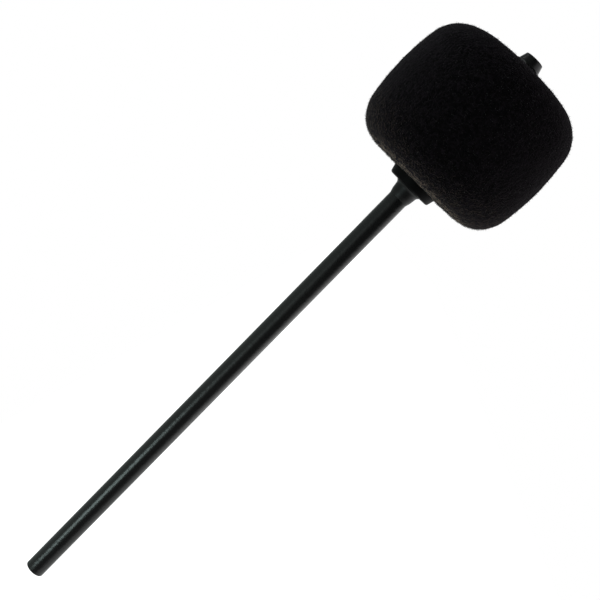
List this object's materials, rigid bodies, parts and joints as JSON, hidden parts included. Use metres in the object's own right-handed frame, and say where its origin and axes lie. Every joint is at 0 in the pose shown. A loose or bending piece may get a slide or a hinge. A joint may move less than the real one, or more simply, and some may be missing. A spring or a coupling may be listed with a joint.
{
  "type": "bass drum beater",
  "caption": "Bass drum pedal beater: straight black steel rod carrying a crowned black felt barrel, clamped between a flared flange and a washer by a lock nut.",
  "frame": {"origin": "centre of the rod's foot, the end that goes into the pedal's clamp", "axes": "+Z along the rod from the foot to the head; X and Y across it, the head being round"},
  "size_m": [0.0562, 0.0562, 0.2208],
  "materials": {
    "black_lacquer": "smooth gloss black lacquer on steel",
    "collar_lacquer": "satin black lacquer on steel",
    "flange_lacquer": "dull black lacquer on steel",
    "sleeve_plastic": "moulded black plastic",
    "black_felt": "dense black pressed wool felt with a short fuzz",
    "black_oxide": "blackened steel",
    "nylon": "natural nylon, slightly translucent"
  },
  "bodies": {
    "shaft": {"shaft": "black_lacquer", "shoulder_collar": "collar_lacquer", "lower_flange": "flange_lacquer"},
    "head": {"felt_head": "black_felt", "core_sleeve": "sleeve_plastic"},
    "washer": {"upper_washer": "black_oxide"},
    "nut": {"lock_nut": "black_oxide", "nylon_insert": "nylon"}
  },
  "joints": [
    {"name": "head_turn", "type": "hinge", "parent": "shaft", "child": "head", "pos_m": [0, 0, 0.19325], "axis": [0, 0, 1], "continuous": true},
    {"name": "washer_lift", "type": "slide", "parent": "shaft", "child": "washer", "axis": [0, 0, 1], "range_m": [0, 0.004]},
    {"name": "nut_turn", "type": "hinge", "parent": "washer", "child": "nut", "pos_m": [0, 0, 0.21565], "axis": [0, 0, 1], "range_deg": [0, 1800]}
  ],
  "couplings": [
    {"joint": "nut_turn", "follows": "washer_lift", "rad_per_m": 7854}
  ]
}
